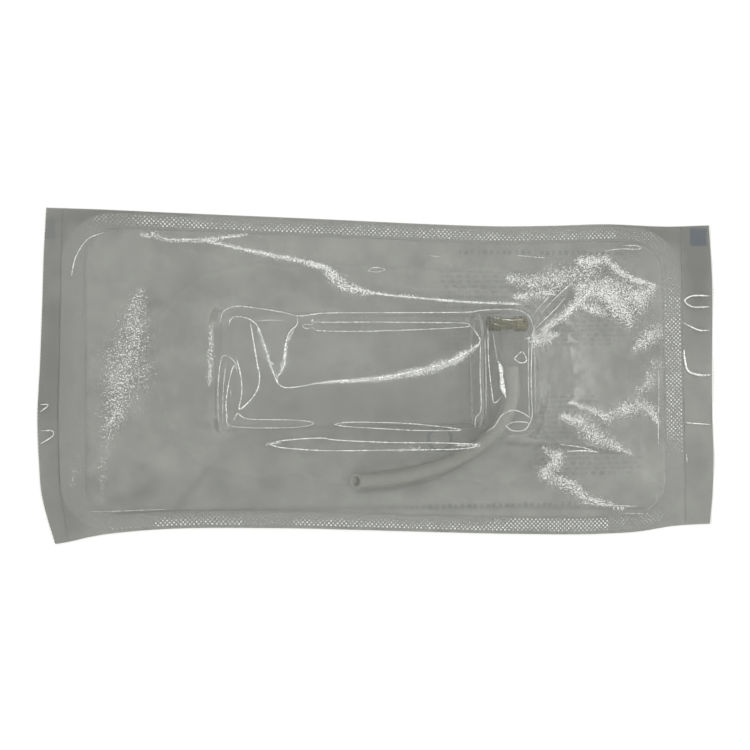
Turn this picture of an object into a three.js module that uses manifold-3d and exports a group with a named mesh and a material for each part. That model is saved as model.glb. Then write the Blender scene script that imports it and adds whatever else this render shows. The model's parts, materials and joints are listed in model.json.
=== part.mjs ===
// A sterile peel pouch holding a clear flat suction reservoir with an end cap, an amber elbow and a short tube.
//
// Millimetres, +Z up. +X runs along the pouch towards its wide opening tab, +Y across it. The origin is the
// middle of the paper's underside, so the pouch lies on the plane z = 0. The paper web is at the bottom, the
// formed clear web is sealed to it all round, and the reservoir lies between the two.
import * as THREE from "three";
import { mergeVertices } from "three/addons/utils/BufferGeometryUtils.js";
import Module from "manifold-3d";

const wasm = await Module();
wasm.setup();

// ---- Driving dimensions -------------------------------------------------------------------------------------

const POUCH = { length: 296, width: 138 };
const PAPER_THICK = 0.3;
const COATING_THICK = 0.1;
const FILM_THICK = 0.4;
const LAYER_GAP = 0.05; // between the flat layers of the seal
const HINGE_GAP = 0.25; // each side of a fold line
const FIT_GAP = 0.3; // between pieces that touch

// The knurled seal is a rounded frame: its inner edge bounds the formed cavity, its outer edge the tabs.
const SEAL = { innerLeft: -132, innerRight: 126, outerLeft: -141, outerRight: 135, innerHalf: 60.5, outerHalf: 68 };
const SEAL_CORNER = { inner: 14, outer: 22 };

// The formed web rises in a short wall at the cavity's edge, then slopes up to lie over the reservoir.
const WALL = { run: 3, rise: 7 };
const FILM_TOP = 25.4;

// The reservoir: a flat tube with round sides, closed by a base cap and an end cap.
const BODY = { left: -75.8, right: 33.9, width: 50, height: 21, corner: 9.5, wall: 1.3 };
const BASE = { left: -77.7, right: -72.5, width: 52.4, height: 23.4, corner: 10.5, wall: 0.9, edge: 2.5 };
const MOUTH_RIM = { length: 2, lip: 0.8 };
const CAP = { left: 37.9, right: 58.7, width: 55, height: 24, corner: 9, wall: 1.6, edge: 3, plate: 2 };
const CAP_NECK = { left: 36, width: 52, height: 22.6, corner: 10 };
const CAP_PLUG = { left: 28, wall: 1 };
const BODY_Y = 1.5; // the reservoir's middle line
const CAP_Y = 0.4; // the end cap's middle line
const AXIS_Z = 12.6; // height of both above the table

// The port stands in the end cap's recess, near its far side, and its elbow turns the flow across the cap.
const PORT = { y: 21.5, bore: 2.6, spigot: 5, spigotRight: 46.5 };
const ELBOW = { left: 40.2, right: 57.7, outer: 6.8, socket: 5.6, bore: 3, socketRight: 47 };
const OUTLET = { x: 50.2, outer: 5.4, endY: 15.2 };
const FUNNEL = { topY: 17.4, socketY: 14.9, bottomY: 3, topOuter: 9.8, bottomOuter: 7.6, socket: 6, bore: 4.4 };
const TUBE = { outer: 6.6, inner: 4.4, clearance: 0.5 };

// One-way flap on the inside of the cap's plate, held by a bar along its lower edge.
const FLAP = { thick: 0.6, hingeY: 18.3, length: 4.7, width: 7, gap: 0.1 };
const FLAP_BAR = { thick: 1.6, lowY: 15, highY: 17.4, width: 8 };

// The tube's middle line, from the funnel to its open end on the paper.
const TUBE_ROUTE = [
  [50.2, 2.7, 12.6],
  [50.5, -1.5, 12.5],
  [50.9, -6.0, 11.6],
  [50.9, -10.5, 10.2],
  [50.2, -15.0, 8.6],
  [48.5, -19.5, 7.1],
  [45.8, -24.0, 5.8],
  [42.0, -28.2, 4.8],
  [37.2, -32.0, 4.1],
  [31.2, -35.6, 3.8],
  [24.4, -38.8, 3.8],
  [16.8, -41.5, 3.8],
  [8.6, -43.6, 3.8],
  [0.0, -45.1, 3.8],
  [-9.0, -45.9, 3.8],
  [-18.4, -46.2, 3.8],
];
const TUBE_STEPS = 30;

// ---- Materials ----------------------------------------------------------------------------------------------

const paperMaterial = new THREE.MeshStandardMaterial({ color: 0x9b9c98, roughness: 0.9, metalness: 0 });
const coatingMaterial = new THREE.MeshStandardMaterial({ color: 0xa2a39e, roughness: 0.7, metalness: 0 });
const filmMaterial = clearMaterial(0xe4e6e2, 0.12, 0.25);
const shellMaterial = clearMaterial(0xe8eae8, 0.08, 0.3);
const siliconeMaterial = clearMaterial(0xdcdcd4, 0.4, 0.7);
const amberMaterial = clearMaterial(0x84806a, 0.3, 0.85);
const tubeMaterial = clearMaterial(0x8e8e84, 0.35, 0.8);

function clearMaterial(color, roughness, opacity) {
  return new THREE.MeshStandardMaterial({ color, roughness, metalness: 0, transparent: true, opacity });
}

// ---- Solids -------------------------------------------------------------------------------------------------

// A closed three.js geometry as a manifold-3d solid.
function solid(geometry) {
  const bare = geometry.clone();
  bare.deleteAttribute("normal");
  bare.deleteAttribute("uv");
  const merged = mergeVertices(bare, 1e-4);
  return new wasm.Manifold(
    new wasm.Mesh({
      numProp: 3,
      vertProperties: new Float32Array(merged.attributes.position.array),
      triVerts: new Uint32Array(merged.index.array),
    }),
  );
}

// A manifold-3d solid as a three.js geometry.
function geometryOf(made) {
  const mesh = made.getMesh();
  const geometry = new THREE.BufferGeometry();
  geometry.setAttribute("position", new THREE.BufferAttribute(mesh.vertProperties, mesh.numProp));
  geometry.setIndex(new THREE.BufferAttribute(mesh.triVerts, 1));
  geometry.computeVertexNormals();
  return geometry;
}

function indexed(points, triangles) {
  const geometry = new THREE.BufferGeometry();
  geometry.setAttribute("position", new THREE.Float32BufferAttribute(points.flat(), 3));
  geometry.setIndex(triangles.flat());
  geometry.computeVertexNormals();
  return geometry;
}

// The outline of a rounded rectangle in the YZ plane, anticlockwise seen from +X.
function roundedRing(halfWidth, halfHeight, corner, steps = 4) {
  const radius = Math.max(0.2, Math.min(corner, halfWidth, halfHeight));
  const ring = [];
  for (let quarter = 0; quarter < 4; quarter++) {
    const centreY = (quarter === 0 || quarter === 3 ? 1 : -1) * (halfWidth - radius);
    const centreZ = (quarter < 2 ? 1 : -1) * (halfHeight - radius);
    for (let i = 0; i <= steps; i++) {
      const angle = ((quarter + i / steps) * Math.PI) / 2;
      ring.push([centreY + radius * Math.cos(angle), centreZ + radius * Math.sin(angle)]);
    }
  }
  return ring;
}

// A solid through rounded-rectangle sections, each { x, inset }, closed flat at both ends.
function loft(sections, { width, height, corner }, middleY) {
  const points = [];
  const triangles = [];
  for (const { x, inset } of sections) {
    const ring = roundedRing(width / 2 - inset, height / 2 - inset, corner - inset);
    for (const [y, z] of ring) points.push([x, middleY + y, AXIS_Z + z]);
  }
  const count = points.length / sections.length;
  for (let s = 0; s + 1 < sections.length; s++) {
    for (let i = 0; i < count; i++) {
      const a = s * count + i;
      const b = s * count + ((i + 1) % count);
      triangles.push([a, b, b + count], [a, b + count, a + count]);
    }
  }
  const first = points.push([sections[0].x, middleY, AXIS_Z]) - 1;
  const last = points.push([sections.at(-1).x, middleY, AXIS_Z]) - 1;
  const top = (sections.length - 1) * count;
  for (let i = 0; i < count; i++) {
    const next = (i + 1) % count;
    triangles.push([first, next, i], [last, top + i, top + next]);
  }
  return indexed(points, triangles);
}

// Sections that round an end's outer edge over a quarter circle, from the end plane inwards or outwards.
function roundedEnd(x, radius, direction, steps = 3) {
  return Array.from({ length: steps + 1 }, (_, i) => {
    const angle = (i / steps) * (Math.PI / 2);
    return { x: x + direction * radius * (1 - Math.cos(angle)), inset: radius * (1 - Math.sin(angle)) };
  });
}

// A block along X whose section is a rounded rectangle, with each end's edge rounded if a radius is given.
function block(left, right, size, middleY, edgeLeft = 0, edgeRight = 0) {
  const start = edgeLeft ? roundedEnd(left, edgeLeft, 1) : [{ x: left, inset: 0 }];
  const end = edgeRight ? roundedEnd(right, edgeRight, -1).reverse() : [{ x: right, inset: 0 }];
  return solid(loft([...start, ...end], size, middleY));
}

// A cylinder along X, on the port's axis.
function portCylinder(left, right, diameter, sides = 16) {
  const geometry = new THREE.CylinderGeometry(diameter / 2, diameter / 2, right - left, sides);
  geometry.rotateZ(Math.PI / 2);
  geometry.translate((left + right) / 2, PORT.y, AXIS_Z);
  return solid(geometry);
}

// A cylinder along Y, at the elbow's side outlet.
function outletCylinder(low, high, diameter, sides = 16) {
  const geometry = new THREE.CylinderGeometry(diameter / 2, diameter / 2, high - low, sides);
  geometry.translate(OUTLET.x, (low + high) / 2, AXIS_Z);
  return solid(geometry);
}

function box(low, high) {
  const size = high.map((value, axis) => value - low[axis]);
  const geometry = new THREE.BoxGeometry(...size);
  geometry.translate(...high.map((value, axis) => (value + low[axis]) / 2));
  return geometry;
}

const grown = (size, by) => ({
  width: size.width + 2 * by,
  height: size.height + 2 * by,
  corner: size.corner + by,
});

// ---- Pouch --------------------------------------------------------------------------------------------------

const PAPER_TOP = PAPER_THICK;
const COATING_BOTTOM = PAPER_TOP + LAYER_GAP;
const FILM_BOTTOM = COATING_BOTTOM + COATING_THICK + LAYER_GAP;
const FLANGE_TOP = FILM_BOTTOM + FILM_THICK;
const HALF_LENGTH = POUCH.length / 2;
const HALF_WIDTH = POUCH.width / 2;

// A flat strip of one web between two fold lines.
function strip(left, right, bottom, thick) {
  return box([left, -HALF_WIDTH, bottom], [right, HALF_WIDTH, bottom + thick]);
}

function roundedRectangle(left, right, half, corner, Kind = THREE.Shape) {
  const shape = new Kind();
  shape.moveTo(left + corner, -half);
  shape.lineTo(right - corner, -half);
  shape.absarc(right - corner, -half + corner, corner, -Math.PI / 2, 0);
  shape.absarc(right - corner, half - corner, corner, 0, Math.PI / 2);
  shape.absarc(left + corner, half - corner, corner, Math.PI / 2, Math.PI);
  shape.absarc(left + corner, -half + corner, corner, Math.PI, 1.5 * Math.PI);
  return shape;
}

function sealCoating() {
  const { innerLeft, innerRight, outerLeft, outerRight, innerHalf, outerHalf } = SEAL;
  const frame = roundedRectangle(outerLeft, outerRight, outerHalf, SEAL_CORNER.outer);
  frame.holes.push(roundedRectangle(innerLeft, innerRight, innerHalf, SEAL_CORNER.inner, THREE.Path));
  const geometry = new THREE.ExtrudeGeometry(frame, {
    depth: COATING_THICK,
    bevelEnabled: false,
    curveSegments: 4,
  });
  geometry.translate(0, 0, COATING_BOTTOM);
  return geometry;
}

// How far a point lies outside a rounded rectangle; negative inside it.
function outside(x, y, left, right, low, high, corner) {
  const dx = Math.abs(x - (left + right) / 2) - (right - left) / 2 + corner;
  const dy = Math.abs(y - (low + high) / 2) - (high - low) / 2 + corner;
  return Math.hypot(Math.max(dx, 0), Math.max(dy, 0)) + Math.min(Math.max(dx, dy), 0) - corner;
}

// Height of the formed web's upper face.
function filmHeight(x, y) {
  const { innerLeft, innerRight, innerHalf } = SEAL;
  const fromSeal = -outside(x, y, innerLeft + 1, innerRight, -innerHalf, innerHalf, SEAL_CORNER.inner);
  if (fromSeal <= 0) return FLANGE_TOP;
  const wall = FLANGE_TOP + WALL.rise * Math.min(fromSeal / WALL.run, 1);
  const low = CAP_Y - CAP.width / 2 - 1;
  const high = CAP_Y + CAP.width / 2 + 1;
  const toContents = Math.max(0, outside(x, y, BASE.left - 1, CAP.right + 1, low, high, CAP.corner));
  const past = Math.max(0, fromSeal - WALL.run);
  return wall + ((FILM_TOP - FLANGE_TOP - WALL.rise) * past) / (past + toContents || 1);
}

function range(from, to, count) {
  return Array.from({ length: count + 1 }, (_, i) => from + ((to - from) * i) / count);
}

// A sheet over a grid of x and y lines, its upper face given by a height and its lower face one thickness down.
function sheet(xs, ys, height, thick) {
  const points = [];
  const triangles = [];
  const rows = ys.length;
  for (const drop of [0, thick]) for (const x of xs) for (const y of ys) points.push([x, y, height(x, y) - drop]);
  const under = xs.length * rows;
  const quad = (a, b, c, d) => triangles.push([a, b, c], [a, c, d]);
  for (let i = 0; i + 1 < xs.length; i++) {
    for (let j = 0; j + 1 < rows; j++) {
      const a = i * rows + j;
      quad(a, a + rows, a + rows + 1, a + 1);
      quad(under + a, under + a + 1, under + a + rows + 1, under + a + rows);
    }
    const low = i * rows;
    const high = low + rows - 1;
    quad(low, under + low, under + low + rows, low + rows);
    quad(high, high + rows, under + high + rows, under + high);
  }
  for (let j = 0; j + 1 < rows; j++) {
    const right = (xs.length - 1) * rows + j;
    quad(j, j + 1, under + j + 1, under + j);
    quad(right, under + right, under + right + 1, right + 1);
  }
  return indexed(points, triangles);
}

function filmLid() {
  const { innerLeft, innerRight, outerRight, innerHalf } = SEAL;
  const wallLeft = innerLeft + 1;
  const xs = [
    innerLeft + HINGE_GAP,
    ...range(wallLeft, wallLeft + WALL.run, 2),
    ...range(wallLeft + WALL.run, BASE.left - 1, 6).slice(1),
    ...range(BASE.left - 1, CAP.right + 1, 8).slice(1),
    ...range(CAP.right + 1, innerRight - WALL.run, 7).slice(1),
    ...range(innerRight - WALL.run, innerRight, 2).slice(1),
    outerRight - HINGE_GAP,
  ];
  const low = CAP_Y - CAP.width / 2 - 1;
  const high = CAP_Y + CAP.width / 2 + 1;
  const ys = [
    -HALF_WIDTH,
    ...range(-innerHalf, WALL.run - innerHalf, 2),
    ...range(WALL.run - innerHalf, low, 4).slice(1),
    ...range(low, high, 5).slice(1),
    ...range(high, innerHalf - WALL.run, 4).slice(1),
    ...range(innerHalf - WALL.run, innerHalf, 2).slice(1),
    HALF_WIDTH,
  ];
  return sheet(xs, ys, filmHeight, FILM_THICK);
}

// ---- Reservoir ----------------------------------------------------------------------------------------------

function reservoirBody() {
  const rim = block(BODY.right - MOUTH_RIM.length, BODY.right, grown(BODY, MOUTH_RIM.lip), BODY_Y);
  const bore = block(BODY.left - 1, BODY.right + 1, grown(BODY, -BODY.wall), BODY_Y);
  return geometryOf(block(BODY.left, BODY.right, BODY, BODY_Y).add(rim).subtract(bore));
}

function baseCap() {
  const pocket = block(BODY.left - FIT_GAP, BASE.right + 1, grown(BASE, -BASE.wall), BODY_Y);
  return geometryOf(block(BASE.left, BASE.right, BASE, BODY_Y, BASE.edge).subtract(pocket));
}

function mouthGasket() {
  const left = BODY.right + FIT_GAP;
  const right = CAP_NECK.left - FIT_GAP;
  const hole = block(left - 1, right + 1, grown(BODY, -BODY.wall), BODY_Y);
  return geometryOf(block(left, right, BODY, BODY_Y).subtract(hole));
}

const tubeCurve = new THREE.CatmullRomCurve3(TUBE_ROUTE.map((point) => new THREE.Vector3(...point)));

function tubeAlong(curve, outer, inner, steps) {
  const section = new THREE.Shape().absarc(0, 0, outer / 2, 0, 2 * Math.PI);
  if (inner) section.holes.push(new THREE.Path().absarc(0, 0, inner / 2, 0, 2 * Math.PI));
  return new THREE.ExtrudeGeometry(section, { steps, extrudePath: curve, curveSegments: 6 });
}

function endCap() {
  const plugOuter = grown(BODY, -BODY.wall - FIT_GAP);
  const shell = block(CAP.left, CAP.right, CAP, CAP_Y, CAP.edge, CAP.wall * 0.8);
  const neck = block(CAP_NECK.left, CAP.left + CAP.plate, CAP_NECK, BODY_Y);
  const plug = block(CAP_PLUG.left, CAP_NECK.left + 0.5, plugOuter, BODY_Y);
  const plugHollow = block(CAP_PLUG.left - 1, CAP_NECK.left, grown(plugOuter, -CAP_PLUG.wall), BODY_Y);
  const recess = block(CAP.left + CAP.plate, CAP.right + 1, grown(CAP, -CAP.wall), CAP_Y);
  const spigot = portCylinder(CAP.left + 1, PORT.spigotRight, PORT.spigot);
  const bore = portCylinder(CAP_PLUG.left, PORT.spigotRight + 1, PORT.bore);
  const notch = solid(tubeAlong(tubeCurve, TUBE.outer + 2 * TUBE.clearance, 0, TUBE_STEPS));
  const body = shell.subtract(recess).add(neck).add(plug).subtract(plugHollow).add(spigot);
  return geometryOf(body.subtract(bore).subtract(notch));
}

function elbowConnector() {
  const outlet = outletCylinder(OUTLET.endY, PORT.y, OUTLET.outer);
  const passage = portCylinder(ELBOW.left - 1, OUTLET.x + ELBOW.bore / 2, ELBOW.bore);
  const socket = portCylinder(ELBOW.left - 1, ELBOW.socketRight, ELBOW.socket);
  const drop = outletCylinder(OUTLET.endY - 1, PORT.y, ELBOW.bore);
  const body = portCylinder(ELBOW.left, ELBOW.right, ELBOW.outer).add(outlet);
  return geometryOf(body.subtract(passage).subtract(socket).subtract(drop));
}

function funnelConnector() {
  const { topY, socketY, bottomY, topOuter, bottomOuter, socket, bore } = FUNNEL;
  const profile = [
    [bore / 2, bottomY],
    [bottomOuter / 2, bottomY],
    [topOuter / 2, topY - 2],
    [topOuter / 2, topY],
    [socket / 2, topY],
    [socket / 2, socketY],
    [bore / 2, socketY],
    [bore / 2, bottomY],
  ].map(([radius, y]) => new THREE.Vector2(radius, y));
  const geometry = new THREE.LatheGeometry(profile, 16);
  geometry.translate(OUTLET.x, 0, AXIS_Z);
  return geometry;
}

function valveFlap() {
  const right = CAP_NECK.left - FLAP.gap;
  return box(
    [right - FLAP.thick, FLAP.hingeY, AXIS_Z - FLAP.width / 2],
    [right, FLAP.hingeY + FLAP.length, AXIS_Z + FLAP.width / 2],
  );
}

function flapBar() {
  const right = CAP_NECK.left - FLAP.gap;
  return box(
    [right - FLAP_BAR.thick, FLAP_BAR.lowY, AXIS_Z - FLAP_BAR.width / 2],
    [right, FLAP_BAR.highY, AXIS_Z + FLAP_BAR.width / 2],
  );
}

// ---- Assembly -----------------------------------------------------------------------------------------------

const pouch = new THREE.Group();
const reservoir = new THREE.Group();

function place(group, name, geometry, material) {
  const mesh = new THREE.Mesh(geometry, material);
  mesh.name = name;
  group.add(mesh);
}

// Each web is one sheet cut at its fold lines: the tabs outside the end seals, and the peel line of the lid.
const { outerLeft: sealLeft, outerRight: sealRight, innerLeft: peelLine } = SEAL;
const webs = [
  ["backing_paper", sealLeft + HINGE_GAP, sealRight - HINGE_GAP, 0, PAPER_THICK, paperMaterial],
  ["paper_tab_left", -HALF_LENGTH, sealLeft - HINGE_GAP, 0, PAPER_THICK, paperMaterial],
  ["paper_tab_right", sealRight + HINGE_GAP, HALF_LENGTH, 0, PAPER_THICK, paperMaterial],
  ["film_seal_strip", sealLeft + HINGE_GAP, peelLine - HINGE_GAP, FILM_BOTTOM, FILM_THICK, filmMaterial],
  ["film_tab_left", -HALF_LENGTH, sealLeft - HINGE_GAP, FILM_BOTTOM, FILM_THICK, filmMaterial],
  ["film_tab_right", sealRight + HINGE_GAP, HALF_LENGTH, FILM_BOTTOM, FILM_THICK, filmMaterial],
];
for (const [name, left, right, bottom, thick, material] of webs) {
  place(pouch, name, strip(left, right, bottom, thick), material);
}
place(pouch, "seal_coating", sealCoating(), coatingMaterial);
place(pouch, "film_lid", filmLid(), filmMaterial);

place(reservoir, "reservoir_body", reservoirBody(), shellMaterial);
place(reservoir, "base_cap", baseCap(), shellMaterial);
place(reservoir, "mouth_gasket", mouthGasket(), siliconeMaterial);
place(reservoir, "end_cap", endCap(), shellMaterial);
place(reservoir, "valve_flap", valveFlap(), siliconeMaterial);
place(reservoir, "flap_bar", flapBar(), shellMaterial);
place(reservoir, "elbow_connector", elbowConnector(), amberMaterial);
place(reservoir, "funnel_connector", funnelConnector(), shellMaterial);
place(reservoir, "connecting_tube", tubeAlong(tubeCurve, TUBE.outer, TUBE.inner, TUBE_STEPS), tubeMaterial);

const part = new THREE.Group();
part.add(pouch, reservoir);
export default part;
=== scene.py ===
"""Looks of the sterile peel pouch: a formed clear film over printed paper, with a clear reservoir inside.

Lengths are in millimetres, turned to metres where a mesh, a light, the camera or the frame takes them.
"""

import json
import math

import bmesh
import bpy
import numpy as np
from mathutils import Euler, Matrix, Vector


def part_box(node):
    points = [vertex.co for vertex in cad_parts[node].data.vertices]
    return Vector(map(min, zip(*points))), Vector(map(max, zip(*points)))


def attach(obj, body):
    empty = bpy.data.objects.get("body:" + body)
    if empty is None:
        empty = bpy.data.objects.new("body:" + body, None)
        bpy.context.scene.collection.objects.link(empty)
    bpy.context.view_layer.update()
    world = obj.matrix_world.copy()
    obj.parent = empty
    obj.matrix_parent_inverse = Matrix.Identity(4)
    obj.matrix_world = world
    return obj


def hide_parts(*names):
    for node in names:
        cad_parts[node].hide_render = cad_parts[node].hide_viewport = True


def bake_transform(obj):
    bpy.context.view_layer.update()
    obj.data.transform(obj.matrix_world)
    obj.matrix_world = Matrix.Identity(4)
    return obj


MM = 0.001

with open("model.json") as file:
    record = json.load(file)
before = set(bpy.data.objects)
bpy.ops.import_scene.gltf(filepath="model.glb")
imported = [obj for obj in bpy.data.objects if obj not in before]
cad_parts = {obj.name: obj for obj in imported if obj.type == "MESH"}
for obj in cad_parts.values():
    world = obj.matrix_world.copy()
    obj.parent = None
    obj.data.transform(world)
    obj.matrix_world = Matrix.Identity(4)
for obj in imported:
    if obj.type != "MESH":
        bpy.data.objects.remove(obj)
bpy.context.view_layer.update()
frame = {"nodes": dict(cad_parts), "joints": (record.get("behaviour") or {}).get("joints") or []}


def unit(value):
    """The value, held between 0 and 1."""
    return np.clip(value, 0, 1)


def box_mm(node):
    """The lowest and highest corners of a CAD node, in millimetres."""
    low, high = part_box(node)
    return np.array(low) / MM, np.array(high) / MM


PAPER_HIGH = box_mm("backing_paper")[1]
SEAL_LOW, SEAL_HIGH = box_mm("seal_coating")
BODY_LOW, BODY_HIGH = box_mm("reservoir_body")
BASE_LOW, BASE_HIGH = box_mm("base_cap")
CAP_LOW, CAP_HIGH = box_mm("end_cap")
GASKET_LOW, GASKET_HIGH = box_mm("mouth_gasket")
ELBOW_LOW, ELBOW_HIGH = box_mm("elbow_connector")
FUNNEL_LOW, FUNNEL_HIGH = box_mm("funnel_connector")
TAB_LEFT, TAB_RIGHT = box_mm("paper_tab_left")[0][0], box_mm("paper_tab_right")[1][0]
JOINT_AT = {j["name"]: np.array(j["pos_m"]) / MM for j in frame["joints"]}
FOLD_LEFT = JOINT_AT["film_tab_left_fold"][0]
FOLD_RIGHT = JOINT_AT["film_tab_right_fold"][0]
PEEL_LINE = JOINT_AT["film_peel"][0]
HALF_WIDTH = PAPER_HIGH[1]

# The knurled seal: a rounded frame between the folds, whose inner edge bounds the formed cavity.
SEAL_RIGHT = 126.0
SEAL_HALF = 61.5
SEAL_CORNER = 14.0
OUTER_CORNER = 22.0
AXIS_Z = (CAP_LOW[2] + CAP_HIGH[2]) / 2

# The reservoir's section, its pieces' corners seen from the end, and the length of the end cap's narrow plug.
BODY_WIDE, BODY_TALL, BODY_CORNER = 50.0, 21.0, 9.5
BASE_CORNER, BASE_ROUND = 10.5, 2.5
CAP_CORNER, CAP_ROUND = 9.0, 2.0
PLUG_LENGTH = 9.9

# The tube's middle line, from the funnel to its open end on the paper.
TUBE_ROUTE = [
    (50.2, 2.7, 12.6),
    (50.5, -1.5, 12.5),
    (50.9, -6.0, 11.6),
    (50.9, -10.5, 10.2),
    (50.2, -15.0, 8.6),
    (48.5, -19.5, 7.1),
    (45.8, -24.0, 5.8),
    (42.0, -28.2, 4.8),
    (37.2, -32.0, 4.1),
    (31.2, -35.6, 3.8),
    (24.4, -38.8, 3.8),
    (16.8, -41.5, 3.8),
    (8.6, -43.6, 3.8),
    (0.0, -45.1, 3.8),
    (-9.0, -45.9, 3.8),
    (-18.4, -46.2, 3.8),
]
TUBE_OUTER = 6.6
TUBE_INNER = 4.4

# ---- Camera, light and floor ----

CAMERA_AT = (-112.3, -15.3, 589.2)
CAMERA_TURN = (1.57, -10.05, -0.67)
CAMERA_LENS = 65.57

# Soft boxes of light: name, middle, size, radiance, colour, and whether gloss shows it.
SOFT_BOXES = [
    ("left", (-540, 60, 400), (200, 320), 2.0, (1.0, 0.96, 0.92), False),
    ("right", (600, 80, 400), (200, 320), 1.7, (1.0, 0.99, 0.97), True),
    ("far", (60, 560, 400), (460, 160), 2.9, (1.0, 0.99, 0.97), False),
    ("near", (60, -560, 400), (460, 160), 0.8, (1.0, 0.99, 0.97), False),
]
ROOM_STRENGTH = 1.0


def add_camera():
    data = bpy.data.cameras.new("camera")
    data.lens = CAMERA_LENS
    data.sensor_width = 36
    data.clip_start = 0.01
    camera = bpy.data.objects.new("camera", data)
    camera.location = Vector(CAMERA_AT) * MM
    camera.rotation_euler = Euler([math.radians(a) for a in CAMERA_TURN])
    bpy.context.collection.objects.link(camera)
    bpy.context.scene.camera = camera


def add_lights():
    """Soft boxes low round the pouch, in an even pale room."""
    for name, middle, (wide, deep), radiance, colour, in_gloss in SOFT_BOXES:
        data = bpy.data.lights.new(name, "AREA")
        data.shape = "RECTANGLE"
        data.size, data.size_y = wide * MM, deep * MM
        data.energy = radiance * math.pi * data.size * data.size_y
        data.color = colour
        light = bpy.data.objects.new(name, data)
        light.location = Vector(middle) * MM
        light.rotation_euler = Vector(middle).to_track_quat("Z", "Y").to_euler()
        light.visible_glossy = in_gloss
        bpy.context.collection.objects.link(light)
    world = bpy.data.worlds.new("room")
    world.use_nodes = True
    background = world.node_tree.nodes["Background"]
    background.inputs["Color"].default_value = (0.985, 1.0, 0.972, 1)
    background.inputs["Strength"].default_value = ROOM_STRENGTH
    bpy.context.scene.world = world
    bpy.context.scene.view_settings.view_transform = "Standard"
    bpy.context.scene.cycles.transparent_max_bounces = 32


# ---- Node helpers ----


class Shader:
    """A new material whose nodes are added one call at a time."""

    def __init__(self, name):
        self.material = bpy.data.materials.new(name)
        self.material.use_nodes = True
        self.tree = self.material.node_tree
        self.tree.nodes.clear()
        self.output = self.tree.nodes.new("ShaderNodeOutputMaterial")

    def add(self, kind, output=0, **inputs):
        """A node of a kind, with values or links for its inputs, by number (in0) or by name (Base__Color).

        Names starting with _ set its properties. Returns one output."""
        node = self.tree.nodes.new("ShaderNode" + kind)
        for name, value in inputs.items():
            if name.startswith("_"):
                setattr(node, name[1:], value)
                continue
            numbered = name.startswith("in") and name[2:].isdigit()
            socket = node.inputs[int(name[2:]) if numbered else name.replace("__", " ")]
            if isinstance(value, bpy.types.NodeSocket):
                self.tree.links.new(value, socket)
            else:
                socket.default_value = value
        return node.outputs[output]

    def math(self, operation, first, second=0.0):
        return self.add("Math", _operation=operation, in0=first, in1=second)

    def mix(self, factor, first, second):
        return self.add("MixShader", in0=factor, in1=first, in2=second)

    def gloss(self, roughness, **normal):
        return self.add("BsdfGlossy", Color=grey(1.0), Roughness=roughness, **normal)

    def clear(self, colour):
        return self.add("BsdfTransparent", Color=colour)

    def matte(self, colour):
        return self.add("BsdfDiffuse", Color=colour)

    def paper_like(self, colour, roughness, normal):
        return self.finish(self.add("BsdfPrincipled", Base__Color=colour, Roughness=roughness, Normal=normal))

    def mix_colour(self, factor, first, second):
        return self.add("Mix", 2, _data_type="RGBA", in0=factor, in6=first, in7=second)

    def place(self):
        """Object coordinates in millimetres."""
        metres = self.add("TexCoord", "Object")
        return self.add("VectorMath", _operation="MULTIPLY", in0=metres, in1=(1 / MM,) * 3)

    def noise(self, size_mm, detail=2.0, roughness=0.5, at=None):
        at = self.place() if at is None else at
        return self.add("TexNoise", Vector=at, Scale=1 / size_mm, Detail=detail, Roughness=roughness)

    def ramp(self, value, low, high, to_low=0.0, to_high=1.0):
        return self.add("MapRange", in0=value, in1=low, in2=high, in3=to_low, in4=to_high)

    def attribute(self, name):
        return self.add("Attribute", "Fac", _attribute_name=name)

    def fresnel(self, ior, normal):
        """Share of light that a surface reflects, the same from both its sides."""
        both = self.ramp(self.add("NewGeometry", "Backfacing"), 0.0, 1.0, ior, 1 / ior)
        return self.add("Fresnel", IOR=both, Normal=normal)

    def bump(self, height, strength, distance_mm):
        return self.add("Bump", Height=height, Strength=strength, Distance=distance_mm * MM)

    def finish(self, surface):
        self.tree.links.new(surface, self.output.inputs["Surface"])
        return self.material


def grey(value, red=1.0, green=1.0, blue=1.0):
    return (value * red, value * green, value * blue, 1.0)


# ---- Materials ----


# The paper's and the coating's colour where their tone is 1; their tone holds painted shadow and painted light as
# well as uneven tone.
DARK_PAPER = (0.152, 0.153, 0.146, 1)


def film_material():
    """Clear web: a thin glossy layer over what lies under it, finely embossed where it was never stretched.

    The embossing bumps and roughens the gloss. White specks are painted into it as glints, densest where the web
    was creased and along the lines where light catches the film."""
    s = Shader("clear_film")
    emboss = s.attribute("emboss")
    grain = s.noise(0.55, detail=1.0, roughness=0.5)
    height = s.math("MULTIPLY", s.math("SUBTRACT", s.noise(0.9, detail=2.0), 0.5), emboss)
    normal = s.bump(height, 1.0, 0.12)
    # The frost attribute places painted glints: white specks mixed into the web.
    limit = s.ramp(s.attribute("frost"), 0.0, 1.0, 0.75, 0.42)
    painted_glint_specks = s.ramp(s.math("SUBTRACT", grain, limit), 0.0, 0.06)
    fresnel = s.fresnel(1.5, normal)
    gloss = s.gloss(s.ramp(emboss, 0.0, 1.0, 0.05, 0.38), Normal=normal)
    web = s.clear(grey(0.945, 1.0, 1.0, 0.995))
    # Painted glints: matte white specks in the web.
    scattered = s.mix(s.math("MULTIPLY", painted_glint_specks, 0.62), web, s.matte(grey(0.92)))
    return s.finish(s.mix(fresnel, scattered, gloss))


def fold_material():
    """A ridge pressed into the film: its tight curve gathers the room's light into a bright line."""
    s = Shader("film_fold")
    grain = s.ramp(s.noise(0.6, detail=1.0, roughness=0.6), 0.42, 0.56, 0.45, 1.4)
    stretch = s.ramp(s.noise(6.0, detail=1.0), 0.4, 0.6, 0.6, 1.25)
    share = s.math("MULTIPLY", s.math("MULTIPLY", grain, stretch), s.attribute("shine"))
    return s.finish(s.mix(share, s.clear(grey(0.98)), s.gloss(0.4)))


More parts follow.
